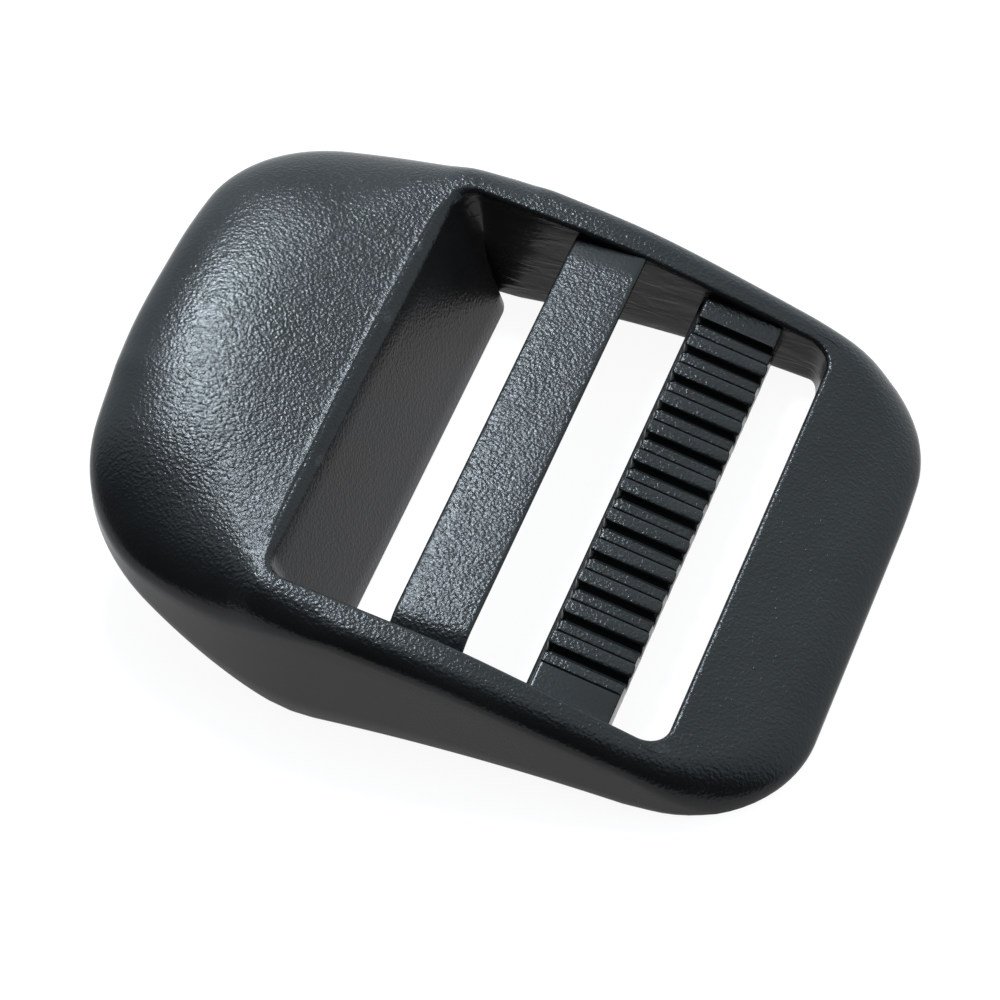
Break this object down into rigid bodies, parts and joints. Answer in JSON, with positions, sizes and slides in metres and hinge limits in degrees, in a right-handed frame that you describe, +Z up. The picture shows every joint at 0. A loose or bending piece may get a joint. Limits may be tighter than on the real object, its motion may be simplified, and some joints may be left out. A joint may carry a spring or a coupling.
{
  "type": "webbing buckle slider",
  "caption": "Black plastic ladder-lock slider for strap webbing, with a raised thumb shell, a smooth anchor bar and a grooved grip bar.",
  "frame": {"origin": "middle of the bounding box, on the surface the slider lies on", "axes": "+X from the thumb shell to the nose, +Y to the far side rail, +Z up through the open face of the webbing slots"},
  "size_m": [0.0584, 0.0472, 0.014],
  "materials": {
    "shell_plastic": "fine spark-eroded grain, semi-gloss black",
    "near_rail_plastic": "fine spark-eroded grain, semi-gloss black",
    "far_rail_plastic": "fine spark-eroded grain, semi-gloss black",
    "nose_plastic": "fine spark-eroded grain, smoother on the rounded end",
    "smooth_bar_plastic": "fine grain, semi-gloss black",
    "grip_bar_plastic": "fine grain, matte black"
  },
  "bodies": {
    "root": {"thumb_shell": "shell_plastic", "near_side_rail": "near_rail_plastic", "far_side_rail": "far_rail_plastic", "nose_plate": "nose_plastic", "smooth_bar": "smooth_bar_plastic", "grip_bar": "grip_bar_plastic"}
  },
  "joints": []
}
